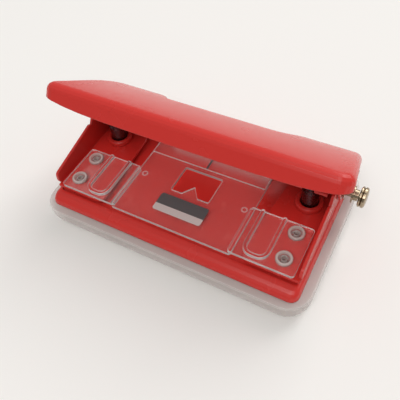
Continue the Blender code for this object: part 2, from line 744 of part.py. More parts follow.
def guide_screw(name, spot):
    """Slotted screw that clamps the guide and the paper stop to the bed."""
    bm = bmesh.new()
    head = GUIDE_TOP_Z + GAP
    profile = [
        (0, BED_UNDER_Z - SCREW_TAIL),
        (SCREW_RADIUS, BED_UNDER_Z - SCREW_TAIL),
        (SCREW_RADIUS, head),
        (SCREW_HEAD_RADIUS, head),
        (SCREW_HEAD_RADIUS, head + SCREW_HEAD_HEIGHT / 2),
        (SCREW_HEAD_RADIUS * 0.75, head + SCREW_HEAD_HEIGHT * 0.9),
        (0, head + SCREW_HEAD_HEIGHT),
    ]
    add_turned(bm, profile, spot, steps=FINE_STEPS)
    obj = place(name, bm, "bright_steel")
    bm = bmesh.new()
    reach = SCREW_HEAD_RADIUS + CUT_OVERRUN
    slot = [
        (spot.x - reach, spot.y - SCREW_SLOT_WIDTH / 2),
        (spot.x + reach, spot.y - SCREW_SLOT_WIDTH / 2),
        (spot.x + reach, spot.y + SCREW_SLOT_WIDTH / 2),
        (spot.x - reach, spot.y + SCREW_SLOT_WIDTH / 2),
    ]
    top = head + SCREW_HEAD_HEIGHT
    add_prism(bm, slot, top - SCREW_SLOT_DEPTH, top + CUT_OVERRUN)
    boolean(obj, helper(f"cut_{name}_slot", bm), "DIFFERENCE")
    return obj


def punch_bush(name, side):
    """Flanged bush that guides a punch, seated in a throat flange."""
    bm = bmesh.new()
    seat = FLANGE_TOP_Z + GAP
    bore = HOLE_RADIUS + RUNNING_GAP
    profile = [
        (bore, SLOT_TOP_Z + GAP / 3),
        (BUSH_NECK_RADIUS, SLOT_TOP_Z + GAP / 3),
        (BUSH_NECK_RADIUS, seat),
        (BUSH_FLANGE_RADIUS, seat),
        (BUSH_FLANGE_RADIUS, seat + BUSH_HEIGHT - BUSH_EDGE),
        (BUSH_FLANGE_RADIUS - BUSH_EDGE, seat + BUSH_HEIGHT),
        (bore + BUSH_EDGE, seat + BUSH_HEIGHT),
        (bore, seat + BUSH_HEIGHT - BUSH_EDGE),
    ]
    add_turned(bm, profile, Vector((side * HOLE_SPAN / 2, HOLE_Y, 0)))
    return place(name, bm, "bright_steel")


def punch(name, side):
    """Punch rod with a hollow-ground tip, and a neck that the press bar's fork holds."""
    bm = bmesh.new()
    cone = PUNCH_TIP_Z + punch_body_length()
    neck = cone + PUNCH_CONE_HEIGHT
    head = neck + PUNCH_NECK_LENGTH
    flare = (PUNCH_HEAD_RADIUS - PUNCH_NECK_RADIUS) * math.tan(HANDLE_TRAVEL)
    profile = [
        (0, PUNCH_TIP_Z + PUNCH_TIP_HOLLOW),
        (HOLE_RADIUS, PUNCH_TIP_Z),
        (HOLE_RADIUS, cone),
        (PUNCH_NECK_RADIUS, neck),
        (PUNCH_NECK_RADIUS, head),
        (PUNCH_HEAD_RADIUS, head + flare),
        (PUNCH_HEAD_RADIUS, head + flare + PUNCH_HEAD_HEIGHT),
        (0, head + flare + PUNCH_HEAD_HEIGHT),
    ]
    centre = Vector((side * HOLE_SPAN / 2, HOLE_Y, 0))
    add_turned(bm, profile, centre)
    return place(name, bm, "bright_steel", centre + Vector((0, 0, PUNCH_TIP_Z)))


def punch_body_length():
    """Length of the full-diameter rod, set by where the pressed bar leaves its neck."""
    pressed_neck = BAR_LOW_Z - GAP
    return pressed_neck + PUNCH_TRAVEL - PUNCH_TIP_Z - PUNCH_CONE_HEIGHT


def lid_point(x, along, normal):
    """Place a point given beside, forwards of and above the hinge in the cover's own plane."""
    if along < LID_BEND_START:
        turn = (LID_BEND_START - along) / LID_BEND_RADIUS
        radius = LID_BEND_RADIUS + normal - LID_RISE
        along = LID_BEND_START - radius * math.sin(turn)
        normal = LID_RISE - LID_BEND_RADIUS + radius * math.cos(turn)
    y = PIVOT_Y - along * math.cos(LID_TILT) + normal * math.sin(LID_TILT)
    z = PIVOT_Z + along * math.sin(LID_TILT) + normal * math.cos(LID_TILT)
    return Vector((x, y, z))


def raised(y, z):
    """Turn a point of the pressed handle back up to its raised place."""
    offset = Vector((0, y, z)) - PIVOT
    turned = PIVOT + Matrix.Rotation(-HANDLE_TRAVEL, 3, "X") @ offset
    return turned.y, turned.z


def lid_corners():
    """Corners of the cover's plan, as X and distance forwards of the hinge, anticlockwise."""
    right = [
        (LID_HALF_WIDTH, LID_FRONT, LID_FRONT_CORNER),
        (LID_KNEE_HALF_WIDTH, LID_KNEE, LID_KNEE_CORNER),
        (LID_REAR_HALF_WIDTH, -LID_REAR, LID_REAR_CORNER),
        (LOBE_INNER_X, -LID_REAR, LOBE_CORNER),
        (NOTCH_HALF_WIDTH, NOTCH_FLOOR, NOTCH_CORNER),
    ]
    left = [(-x, along, radius) for x, along, radius in reversed(right)]
    return list(reversed(right + left))


def lid_outline(inward):
    """Plan outline of the cover moved inwards, with extra points along its front edge."""
    outline = rounded(inset(lid_corners(), inward))
    first = Vector(outline[0])
    last = Vector(outline[-1])
    for share in LID_FRONT_EDGE_SHARES:
        outline.append(tuple(last.lerp(first, share)))
    return outline


def skirt_depth(x, along):
    """Depth of the cover's skirt: least at the rear, and arched deepest at the front's middle."""
    if along <= LID_KNEE:
        return LID_SKIRT_REAR
    forward = (along - LID_KNEE) / (LID_FRONT - LID_KNEE)
    side = LID_SKIRT_REAR + (LID_SKIRT - LID_SKIRT_REAR) * forward
    if along < LID_FRONT - LID_FRONT_CORNER:
        return side
    arch = 1 - min(1, abs(x) / LID_HALF_WIDTH) ** LID_ARCH_POWER
    return side + (LID_SKIRT_FRONT - side) * arch


def handle_cover():
    """Pressed cover with a turned-down skirt and two rear lobes."""
    under = LID_RISE - LID_SHEET

    def ring(inward, normal):
        return [Vector((x, along, normal)) for x, along in lid_outline(inward)]

    def foot(inward):
        return [Vector((x, along, LID_RISE - skirt_depth(x, along))) for x, along in lid_outline(inward)]

    rings = [foot(0)]
    for step in range(ARC_STEPS):
        turn = math.pi / 2 * step / (ARC_STEPS - 1)
        drop = LID_EDGE * (1 - math.sin(turn))
        rings.append(ring(LID_EDGE * (1 - math.cos(turn)), LID_RISE - drop))
    shell = [foot(LID_SHEET)]
    inner_edge = LID_EDGE - LID_SHEET
    for step in range(ARC_STEPS):
        turn = math.pi / 2 * step / (ARC_STEPS - 1)
        drop = inner_edge * (1 - math.sin(turn))
        shell.append(ring(LID_SHEET + inner_edge * (1 - math.cos(turn)), under - drop))
    bm = bmesh.new()
    add_loft(bm, list(reversed(shell)) + rings)
    bm.normal_update()
    bmesh.ops.triangulate(bm, faces=[face for face in bm.faces if len(face.verts) > 4])
    for step in range(LID_BEND_CUTS + 1):
        along = LID_BEND_START - (LID_BEND_START + LID_REAR) * step / (LID_BEND_CUTS + 1)
        bmesh.ops.bisect_plane(
            bm,
            geom=bm.verts[:] + bm.edges[:] + bm.faces[:],
            plane_co=Vector((0, along, 0)),
            plane_no=Vector((0, 1, 0)),
            dist=MERGE,
        )
    bmesh.ops.remove_doubles(bm, verts=bm.verts, dist=GAP / 10)
    for vert in bm.verts:
        vert.co = lid_point(*vert.co)
    return place("handle_cover", bm, "red_enamel", PIVOT)


def cheek(name, side):
    """Bracket welded under the cover: a hinge cheek with a flange along its top."""
    bm = bmesh.new()
    low, high = sorted((side * CHEEK_INNER_X, side * CHEEK_OUTER_X))
    add_prism(bm, cheek_outline(), low, high, across=True)
    obj = place(name, bm, "red_enamel", PIVOT)

    top = LID_RISE - LID_SHEET - GAP
    rear = CHEEK_TOP_FRONT - CHEEK_FLANGE_LENGTH
    strip = []
    for along, normal in ((rear, top), (rear, top - CHEEK_SHEET), (CHEEK_TOP_FRONT, top - CHEEK_SHEET)):
        strip.append(straight_point(along, normal))
    strip.append(straight_point(CHEEK_TOP_FRONT, top))
    bm = bmesh.new()
    low, high = sorted((side * (BAR_HALF_WIDTH + GAP), side * (CHEEK_INNER_X + CHEEK_SHEET / 2)))
    add_prism(bm, strip, low, high, across=True)
    boolean(obj, helper(f"add_{name}_flange", bm), "UNION")

    low, high = sorted((side * WALL_HALF_WIDTH, side * (CHEEK_OUTER_X + CUT_OVERRUN)))
    cut_cylinders(obj, f"cut_{name}_pivot", AXLE_RADIUS + GAP, [PIVOT], low, high, "X")
    if side > 0:
        bm = bmesh.new()
        add_prism(bm, slot_outline(), low, high, across=True)
        boolean(obj, helper(f"cut_{name}_slot", bm), "DIFFERENCE")
    return obj


def cheek_outline():
    """Outline of a cheek in the YZ plane: toe, hinge boss and the seam under the cover."""
    under = LID_RISE - LID_SHEET - GAP
    seam = []
    for step in range(ARC_STEPS + 1):
        along = -CHEEK_REAR + (CHEEK_TOP_FRONT + CHEEK_REAR) * step / ARC_STEPS
        point = lid_point(0, along, under - CHEEK_SEAM_DROP * (1 - step / ARC_STEPS))
        seam.append((point.y, point.z))
    front = rounded(
        [
            (seam[-1][0], seam[-1][1], GAP),
            (PIVOT_Y - CHEEK_SHIN_Y, PIVOT_Z + CHEEK_SHIN_RISE, CHEEK_TOE_CORNER),
            (PIVOT_Y - CHEEK_KNEE_Y, PIVOT_Z + CHEEK_KNEE_RISE, CHEEK_TOE_CORNER),
            (PIVOT_Y - CHEEK_TOE_Y, PIVOT_Z - CHEEK_TOE_DROP, CHEEK_TOE_CORNER),
            (PIVOT_Y, PIVOT_Z - CHEEK_BOSS_RADIUS, GAP),
        ]
    )
    shin = front[ARC_STEPS + 1 : 4 * (ARC_STEPS + 1)]
    boss = []
    for step in range(ARC_STEPS + 1):
        turn = math.radians(-95) + math.radians(85) * step / ARC_STEPS
        boss.append((PIVOT_Y + CHEEK_BOSS_RADIUS * math.cos(turn), PIVOT_Z + CHEEK_BOSS_RADIUS * math.sin(turn)))
    return seam + shin + boss


def slot_outline():
    """Arc slot about the hinge that the lock bush passes through; its ends stop the handle."""
    arm = Vector((LOCK_Y - PIVOT_Y, LOCK_Z - PIVOT_Z))
    radius = arm.length
    start = math.atan2(arm.y, arm.x)
    half = LOCK_BUSH_RADIUS + GAP

    def spot(turn, distance):
        return PIVOT_Y + distance * math.cos(turn), PIVOT_Z + distance * math.sin(turn)

    points = []
    count = ARC_STEPS * 2
    for step in range(count + 1):
        points.append(spot(start - HANDLE_TRAVEL * step / count, radius + half))
    for turn, first in ((start - HANDLE_TRAVEL, 0), (start, 1)):
        centre = spot(turn, radius)
        opening = turn + math.pi * first
        for step in range(1, count):
            swing = opening - math.pi * step / count
            points.append((centre[0] + half * math.cos(swing), centre[1] + half * math.sin(swing)))
        if first == 0:
            for step in range(count + 1):
                points.append(spot(start - HANDLE_TRAVEL * (1 - step / count), radius - half))
    return points


def press_bar():
    """Channel spot-welded under the cover, with a fork slot for each punch's neck."""
    web = BAR_WEB_TOP
    sag = max(0, LID_BEND_START - web) ** 2 / (2 * LID_BEND_RADIUS)
    top = LID_RISE - LID_SHEET - GAP - sag
    corners = []
    for y, z in ((BAR_FRONT_Y, BAR_LOW_Z), (BAR_REAR_Y, BAR_LOW_Z)):
        corners.append((*raised(y, z), BAR_SHEET / 5))
    for along, normal in ((web, top), (web + BAR_TOP_LENGTH, top), (web + BAR_TOP_LENGTH, top - BAR_SHEET)):
        corners.append((*straight_point(along, normal), BAR_SHEET / 5))
    corners.append((*straight_point(web + BAR_SHEET, top - BAR_SHEET), BAR_SHEET / 5))
    corners.append((*raised(BAR_REAR_Y - BAR_SHEET, BAR_LOW_Z + BAR_SHEET), BAR_SHEET / 5))
    corners.append((*raised(BAR_FRONT_Y, BAR_LOW_Z + BAR_SHEET), BAR_SHEET / 5))
    corners[1] = (corners[1][0], corners[1][1], BAR_CORNER)
    corners[2] = (corners[2][0], corners[2][1], BAR_CORNER)
    bm = bmesh.new()
    add_prism(bm, rounded(corners), -BAR_HALF_WIDTH, BAR_HALF_WIDTH, across=True)
    obj = place("press_bar", bm, "red_enamel", PIVOT)

    bm = bmesh.new()
    half = PUNCH_NECK_RADIUS + FORK_CLEARANCE
    for spot in both_sides(HOLE_SPAN / 2, HOLE_Y):
        fork = [
            (spot.x - half, BAR_FRONT_Y - CUT_OVERRUN, GAP),
            (spot.x + half, BAR_FRONT_Y - CUT_OVERRUN, GAP),
            (spot.x + half, spot.y + half, half * 0.95),
            (spot.x - half, spot.y + half, half * 0.95),
        ]
        add_prism(bm, rounded(fork), BAR_LOW_Z - CUT_OVERRUN, BAR_LOW_Z + BAR_SHEET + CUT_OVERRUN)
    spin = Matrix.Translation(PIVOT) @ Matrix.Rotation(-HANDLE_TRAVEL, 4, "X") @ Matrix.Translation(-PIVOT)
    bmesh.ops.transform(bm, matrix=spin, verts=bm.verts)
    boolean(obj, helper("cut_forks", bm), "DIFFERENCE")
    return obj


def straight_point(along, normal):
    """Place a point in the cover's straight plane, without its bend."""
    y = PIVOT_Y - along * math.cos(LID_TILT) + normal * math.sin(LID_TILT)
    z = PIVOT_Z + along * math.sin(LID_TILT) + normal * math.cos(LID_TILT)
    return y, z


def hinge_axle():
    """Rod through both walls and both cheeks, headed at the left and grooved at the right."""
    bm = bmesh.new()
    face = CHEEK_OUTER_X + GAP
    groove = face + GAP
    end = groove + CLIP_SHEET + GAP + GROOVE_END
    profile = [
        (0, -face - AXLE_HEAD_HEIGHT),
        (AXLE_HEAD_RADIUS * 0.75, -face - AXLE_HEAD_HEIGHT),
        (AXLE_HEAD_RADIUS, -face - AXLE_HEAD_HEIGHT / 2),
        (AXLE_HEAD_RADIUS, -face),
        (AXLE_RADIUS, -face),
        (AXLE_RADIUS, face),
        (AXLE_RADIUS - GROOVE_DEPTH, face),
        (AXLE_RADIUS - GROOVE_DEPTH, groove + CLIP_SHEET + GAP),
        (AXLE_RADIUS, groove + CLIP_SHEET + GAP),
        (AXLE_RADIUS, end),
        (0, end),
    ]
    add_turned(bm, profile, PIVOT, "X")
    return place("hinge_axle", bm, "bright_steel", PIVOT)


def axle_clip():
    """Open spring clip in the axle's groove."""
    bm = bmesh.new()
    low = CHEEK_OUTER_X + GAP + GAP / 2
    inner = AXLE_RADIUS - GROOVE_DEPTH + GAP / 2
    profile = [(inner, low), (CLIP_RADIUS, low), (CLIP_RADIUS, low + CLIP_SHEET), (inner, low + CLIP_SHEET)]
    add_turned(bm, profile, PIVOT, "X")
    obj = place("axle_clip", bm, "spring_steel", PIVOT)
    bm = bmesh.new()
    half = CLIP_MOUTH / 2
    mouth = [
        (PIVOT_Y - half, PIVOT_Z - CLIP_RADIUS - CUT_OVERRUN),
        (PIVOT_Y + half, PIVOT_Z - CLIP_RADIUS - CUT_OVERRUN),
        (PIVOT_Y + half, PIVOT_Z),
        (PIVOT_Y - half, PIVOT_Z),
    ]
    add_prism(bm, mouth, low - CUT_OVERRUN, low + CLIP_SHEET + CUT_OVERRUN, across=True)
    boolean(obj, helper("cut_clip_mouth", bm), "DIFFERENCE")
    return obj


def spring_path(side):
    """Centre line of a torsion spring: foot leg, turns round the axle and leg under the cover."""
    points = []
    start_x = SPRING_X - SPRING_PITCH * SPRING_TURNS / 2
    foot = STOP_TOP_Z + GAP + SPRING_WIRE
    points.append(Vector((side * start_x, PIVOT_Y - SPRING_RADIUS, foot)))
    count = SPRING_TURNS * SPRING_POINTS + 1
    total = math.tau * SPRING_TURNS + LID_TILT
    for step in range(count + 1):
        turn = math.pi - total * step / count
        x = start_x + SPRING_PITCH * SPRING_TURNS * step / count
        y = PIVOT_Y + SPRING_RADIUS * math.cos(turn)
        z = PIVOT_Z + SPRING_RADIUS * math.sin(turn)
        points.append(Vector((side * x, y, z)))
    under = lid_point(0, SPRING_RADIUS, LID_RISE - LID_SHEET)
    lift = Vector((0, math.sin(LID_TILT), math.cos(LID_TILT)))
    reach = (under - PIVOT).dot(lift) - GAP - SPRING_WIRE
    end = points[-1] + lift * reach
    points.append(end)
    return points


def return_spring(name, side):
    """Torsion spring round the axle, bevelled along its path."""
    path = spring_path(side)
    curve = bpy.data.curves.new(name, "CURVE")
    curve.dimensions = "3D"
    curve.bevel_depth = SPRING_WIRE
    curve.bevel_resolution = 1
    curve.use_fill_caps = True
    spline = curve.splines.new("POLY")
    spline.points.add(len(path) - 1)
    for point, target in zip(spline.points, path):
        point.co = (*(target - PIVOT), 1)
    obj = bpy.data.objects.new(name, curve)
    obj.location = PIVOT
    obj.data.materials.append(finish_material("spring_steel"))
    bpy.context.scene.collection.objects.link(obj)
    skip = SPRING_POINTS // 2
    pairs = ((a - b).length for i, a in enumerate(path) for b in path[i + skip :])
    least = min(pairs) - SPRING_WIRE * 2
    print(f"{name}: least gap to itself {least * 1000:.2f} mm")
    return obj


def lock_bush():
    """Bush in the right wall that carries the lock pin and stops the cheek's slot."""
    bm = bmesh.new()
    bore = LOCK_PIN_RADIUS + RUNNING_GAP
    face = LOCK_BUSH_FACE_X
    profile = [
        (bore, WALL_INNER_X),
        (LOCK_BUSH_RADIUS, WALL_INNER_X),
        (LOCK_BUSH_RADIUS, face),
        (LOCK_BUSH_HEAD_RADIUS, face),
        (LOCK_BUSH_HEAD_RADIUS, face + LOCK_BUSH_HEAD),
        (bore, face + LOCK_BUSH_HEAD),
    ]
    add_turned(bm, profile, Vector((0, LOCK_Y, LOCK_Z)), "X", FINE_STEPS)
    return place("lock_bush", bm, "nickel_plate")


def lock_pin():
    """Sliding pin with a collar; pushed in, its tip holds the pressed handle down."""
    bm = bmesh.new()
    tail = LOCK_PIN_RADIUS
    profile = [
        (0, LOCK_TIP_X),
        (LOCK_PIN_RADIUS * 0.7, LOCK_TIP_X),
        (LOCK_PIN_RADIUS, LOCK_TIP_X + LOCK_PIN_RADIUS * 0.3),
        (LOCK_PIN_RADIUS, COLLAR_X),
        (LOCK_COLLAR_RADIUS, COLLAR_X),
        (LOCK_COLLAR_RADIUS, NECK_X),
        (LOCK_NECK_RADIUS, NECK_X),
        (LOCK_NECK_RADIUS, KNOB_X),
        (tail, KNOB_X),
        (tail, KNOB_X + TAIL_LENGTH),
        (0, KNOB_X + TAIL_LENGTH),
    ]
    add_turned(bm, profile, Vector((0, LOCK_Y, LOCK_Z)), "X")
    return place("lock_pin", bm, "nickel_plate", Vector((LOCK_TIP_X, LOCK_Y, LOCK_Z)))


def lock_knob():
    """Round knob on the pin's tail, with a groove round its rim."""
    bm = bmesh.new()
    face = KNOB_X + GAP
    end = face + KNOB_LENGTH
    socket = LOCK_PIN_RADIUS + GAP
    middle = face + KNOB_LENGTH * 0.4
    profile = [
        (0, face + TAIL_LENGTH + GAP),
        (socket, face + TAIL_LENGTH + GAP),
        (socket, face),
        (KNOB_RADIUS - KNOB_EDGE, face),
        (KNOB_RADIUS, face + KNOB_EDGE / 2),
        (KNOB_RADIUS, middle - KNOB_GROOVE / 2),
        (KNOB_RADIUS - KNOB_GROOVE, middle),
        (KNOB_RADIUS, middle + KNOB_GROOVE / 2),
        (KNOB_RADIUS, end - KNOB_EDGE),
        (KNOB_RADIUS - KNOB_EDGE, end - KNOB_EDGE / 3),
        (KNOB_RADIUS / 2, end),
        (0, end),
    ]
    add_turned(bm, profile, Vector((0, LOCK_Y, LOCK_Z)), "X")
    return place("lock_knob", bm, "nickel_plate", Vector((KNOB_X, LOCK_Y, LOCK_Z)))


def build():
    """Make every piece of the punch."""
    clear_scene()
    chip_tray()
    base_plate()
    punch_frame()
    paper_stop()
    paper_guide()
    for name, side in (("left", -1), ("right", 1)):
        frame_rivet(f"frame_rivet_{name}_outer", Vector((side * RIVET_OUTER_X, RIVET_Y, 0)))
        frame_rivet(f"frame_rivet_{name}_inner", Vector((side * RIVET_INNER_X, RIVET_Y, 0)))
        guide_stud(f"guide_stud_{name}_front", Vector((side * STUD_X, STUD_FRONT_Y, 0)))
        guide_stud(f"guide_stud_{name}_rear", Vector((side * STUD_X, STUD_REAR_Y, 0)))
        guide_screw(f"guide_screw_{name}", Vector((side * SCREW_X, SCREW_Y, 0)))
        punch_bush(f"punch_bush_{name}", side)
        punch(f"punch_{name}", side)
        return_spring(f"return_spring_{name}", side)
        cheek(f"cheek_{name}", side)
    handle_cover()
    press_bar()
    hinge_axle()
    axle_clip()
    lock_bush()
    lock_pin()
    lock_knob()
    even_facets()


build()
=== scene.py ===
"""Looks of a red two-hole desk punch with a clear paper guide and a clear chip tray.

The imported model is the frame. Each class below dresses one sub-assembly, and adds the thin
printed, moulded and pressed details that the solids leave out.
"""

import logging
import math
from dataclasses import dataclass, field
from enum import Enum

import bmesh
import bpy
from mathutils import Matrix, Vector


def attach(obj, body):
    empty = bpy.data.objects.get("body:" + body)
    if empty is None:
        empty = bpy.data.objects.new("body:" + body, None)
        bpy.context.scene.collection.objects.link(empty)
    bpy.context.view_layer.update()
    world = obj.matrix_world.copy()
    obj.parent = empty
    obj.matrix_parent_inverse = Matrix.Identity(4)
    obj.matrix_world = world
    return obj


LOG = logging.getLogger("punch")
MM = 0.001

# Cosine of a rounded normal's lean where an edge starts, and where it is fully one.
EDGE_STARTS = 0.98
EDGE_FULL = 0.80
# Rays of each look-up of a rounded edge.
EDGE_SAMPLES = 6
# Refractive index of polystyrene.
STYRENE_IOR = 1.59
# Facets of a new piece that meet at more than this stay sharp.
SHARP_DEG = 35.0
# Facets of a plate's rounded corner.
CORNER_STEPS = 6
# Air that keeps a thin film off the face under it.
FILM_GAP = 0.01 * MM

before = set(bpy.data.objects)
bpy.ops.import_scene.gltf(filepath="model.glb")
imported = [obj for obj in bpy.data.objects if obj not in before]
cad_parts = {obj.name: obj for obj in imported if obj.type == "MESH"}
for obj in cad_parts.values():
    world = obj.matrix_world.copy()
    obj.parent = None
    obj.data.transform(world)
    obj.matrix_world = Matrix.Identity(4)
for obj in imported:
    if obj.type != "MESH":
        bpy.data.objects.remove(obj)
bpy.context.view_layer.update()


class Body(str, Enum):
    """Moving bodies of the punch."""

    BASE = "base"
    HANDLE = "handle"
    LEFT_PUNCH = "left_punch"
    RIGHT_PUNCH = "right_punch"
    LOCK = "lock"
    TRAY = "tray"


class Side(Enum):
    """Left and right of the punch, with the sign of x there."""

    LEFT = -1
    RIGHT = 1

    @property
    def word(self) -> str:
        """Word for the side in the names of nodes and pieces."""
        return self.name.lower()


def linear(hex_colour: str) -> tuple[float, float, float, float]:
    """Turn an sRGB hex colour into linear RGBA.

    Args:
        hex_colour: Six hex digits with a leading hash.

    Returns:
        Linear red, green, blue and an alpha of 1.
    """
    channels = [int(hex_colour[i : i + 2], 16) / 255 for i in (1, 3, 5)]
    values = [c / 12.92 if c <= 0.04045 else ((c + 0.055) / 1.055) ** 2.4 for c in channels]
    return values[0], values[1], values[2], 1.0


def add_node(
    tree: bpy.types.NodeTree, kind: str, links: dict | None = None, **settings: object
) -> bpy.types.Node:
    """Add a shader node, set it up and wire its inputs.

    Args:
        tree: Node tree that receives the node.
        kind: Blender's type name of the node.
        links: Input name to an output socket or to a plain value.
        settings: Attributes of the node.

    Returns:
        The new node.
    """
    node = tree.nodes.new(kind)
    for name, value in settings.items():
        setattr(node, name, value)
    for name, value in (links or {}).items():
        socket = node.inputs[name]
        if isinstance(value, bpy.types.NodeSocket):
            tree.links.new(value, socket)
        else:
            socket.default_value = value
    return node


def noise(
    tree: bpy.types.NodeTree,
    vector: bpy.types.NodeSocket,
    size_mm: float,
    detail: float,
    roughness: float = 0.5,
) -> bpy.types.NodeSocket:
    """Add a noise pattern of a real size.

    Args:
        tree: Node tree of the material.
        vector: Coordinates in metres.
        size_mm: Width of one of its patches in millimetres.
        detail: How many finer layers it has.
        roughness: How strong the finer layers are.

    Returns:
        A socket with values about 0.5.
    """
    links = {
        "Vector": vector,
        "Scale": 1 / (size_mm * MM),
        "Detail": detail,
        "Roughness": roughness,
    }
    return add_node(tree, "ShaderNodeTexNoise", links).outputs["Fac"]


def between(
    tree: bpy.types.NodeTree, share: bpy.types.NodeSocket, low: float, high: float
) -> bpy.types.NodeSocket:
    """Turn a share into a value between two others.

    Args:
        tree: Node tree of the material.
        share: Socket with values from 0 to 1.
        low: Value at a share of 0.
        high: Value at a share of 1.

    Returns:
        A socket with the value.
    """
    links = {"Value": share, "To Min": low, "To Max": high}
    return add_node(tree, "ShaderNodeMapRange", links).outputs["Result"]


def relief(
    tree: bpy.types.NodeTree,
    height: bpy.types.NodeSocket,
    strength: float,
    depth_mm: float,
    under: bpy.types.NodeSocket | None = None,
) -> bpy.types.NodeSocket:
    """Shade a relief that is too fine for the mesh.

    Args:
        tree: Node tree of the material.
        height: Socket with the relief's pattern.
        strength: How much of it shows.
        depth_mm: Its depth in millimetres.
        under: Normal that it lies on, if that isn't the mesh's own.

    Returns:
        A socket with the normal.
    """
    links = {"Height": height, "Strength": strength, "Distance": depth_mm * MM}
    if under is not None:
        links["Normal"] = under
    return add_node(tree, "ShaderNodeBump", links).outputs["Normal"]


def principled(material: bpy.types.Material, values: dict) -> None:
    """Set sockets of a material's main shader.

    Args:
        material: Material with nodes.
        values: Input name to an output socket or to a plain value.
    """
    tree = material.node_tree
    shader = tree.nodes["Principled BSDF"]
    for name, value in values.items():
        if isinstance(value, bpy.types.NodeSocket):
            tree.links.new(value, shader.inputs[name])
        else:
            shader.inputs[name].default_value = value


def rounded(tree: bpy.types.NodeTree, radius_mm: float) -> bpy.types.NodeSocket:
    """Find the normal of the surface with its edges rounded.

    Args:
        tree: Node tree of the material.
        radius_mm: Radius of the edges in millimetres.

    Returns:
        A socket with the normal.
    """
    links = {"Radius": radius_mm * MM}
    return add_node(tree, "ShaderNodeBevel", links, samples=EDGE_SAMPLES).outputs["Normal"]


def edge_share(
    tree: bpy.types.NodeTree, edge: bpy.types.NodeSocket, most: float
) -> bpy.types.NodeSocket:
    """Say how close a point is to an edge, from how far a rounded normal leans there.

    Args:
        tree: Node tree of the material.
        edge: Socket with the rounded normal.
        most: Share right at the edge.

    Returns:
        A socket that is 0 away from every edge.
    """
    flat = add_node(tree, "ShaderNodeNewGeometry")
    lean = add_node(
        tree,
        "ShaderNodeVectorMath",
        {0: edge, 1: flat.outputs["Normal"]},
        operation="DOT_PRODUCT",
    )
    share = add_node(
        tree,
        "ShaderNodeMapRange",
        {
            "Value": lean.outputs["Value"],
            "From Min": EDGE_STARTS,
            "From Max": EDGE_FULL,
            "To Max": most,
        },
    )
    return share.outputs["Result"]


def blank(name: str) -> bpy.types.Material:
    """Make a node material that only has its main shader.

    Args:
        name: Name of the material.

    Returns:
        The material.
    """
    material = bpy.data.materials.new(name)
    material.use_nodes = True
    return material


@dataclass(frozen=True)
class Crown:
    """Slight fall of a pressed sheet towards one edge, too shallow to need its own mesh.

    The fall grows with the square of the way from its start, and is whole at its reach.
    """

    direction: tuple[float, float, float]
    start: float
    reach: float = 20.5 * MM
    fall: float = 1.7 * MM


@dataclass(frozen=True)
class BakedEnamel:
    """Stoving enamel sprayed on pressed sheet steel.

    A smooth paint film over drawn steel: satin gloss, a faint orange peel, edges that the film
    rounds off, and a lighter tone along every edge: painted highlight, partly paint worn by
    hands.
    """

    name: str = "baked_enamel_red"
    colour: str = "#D2332D"
    # Edge tone: painted highlight, partly paint worn thin by hands.
    rubbed_and_highlit: str = "#DE5A53"
    wear_and_highlight: float = 0.5
    peel_mm: float = 0.9
    peel_depth_mm: float = 0.02
    peel_strength: float = 0.06
    drift_mm: float = 14.0
    round_mm: float = 0.35
    roughness: float = 0.25
    smoother: float = 0.05
    rougher: float = 0.07
    ior: float = 1.5
    shine: float = 0.38
    crown: Crown | None = None

    def make(self) -> bpy.types.Material:
        """Build the enamel.

        Returns:
            The material.
        """
        material = blank(self.name)
        tree = material.node_tree
        place = add_node(tree, "ShaderNodeTexCoord").outputs["Object"]
        # Orange peel of sprayed paint, drawn a little coarser than the real 0.3 mm so it shows.
        peel = noise(tree, place, self.peel_mm, 2.0)
        # Slow drift of gloss over a few centimetres, from how thick the film lies.
        drift = noise(tree, place, self.drift_mm, 3.0, 0.55)
        gloss = between(
            tree, drift, self.roughness - self.smoother, self.roughness + self.rougher
        )
        # The film's round edge, and how far a point is from it.
        edge = rounded(tree, self.round_mm)
        # Lighter tone along every edge: painted highlight of the round edge, partly paint worn
        # thin.
        tint = add_node(
            tree,
            "ShaderNodeMix",
            {
                "Factor": edge_share(tree, edge, self.wear_and_highlight),
                "A": linear(self.colour),
                "B": linear(self.rubbed_and_highlit),
            },
            data_type="RGBA",
        )
        normal = relief(tree, peel, self.peel_strength, self.peel_depth_mm, edge)
        if self.crown:
            normal = self.crowned(tree, place, normal)
        principled(
            material,
            {
                "Base Color": tint.outputs["Result"],
                "Roughness": gloss,
                "Normal": normal,
                "IOR": self.ior,
                "Specular IOR Level": self.shine,
            },
        )
        return material

    def crowned(
        self,
        tree: bpy.types.NodeTree,
        place: bpy.types.NodeSocket,
        under: bpy.types.NodeSocket,
    ) -> bpy.types.NodeSocket:
        """Lean the surface as a crowned sheet leans.

        Args:
            tree: Node tree of the material.
            place: Socket with object coordinates.
            under: Socket with the normal that is leaned further.

        Returns:
            A socket with the leaned normal.
        """
        along = add_node(
            tree,
            "ShaderNodeVectorMath",
            {0: place, 1: self.crown.direction},
            operation="DOT_PRODUCT",
        )
        share = add_node(
            tree,
            "ShaderNodeMapRange",
            {
                "Value": along.outputs["Value"],
                "From Min": self.crown.start,
                "From Max": self.crown.start + self.crown.reach,
            },
        )
        fall = add_node(
            tree,
            "ShaderNodeMath",
            {0: share.outputs["Result"], 1: share.outputs["Result"]},
            operation="MULTIPLY",
        )
        leaned = add_node(
            tree,
            "ShaderNodeBump",
            {
                "Height": fall.outputs["Value"],
                "Strength": 1.0,
                "Distance": self.crown.fall,
                "Normal": under,
            },
            invert=True,
        )
        return leaned.outputs["Normal"]


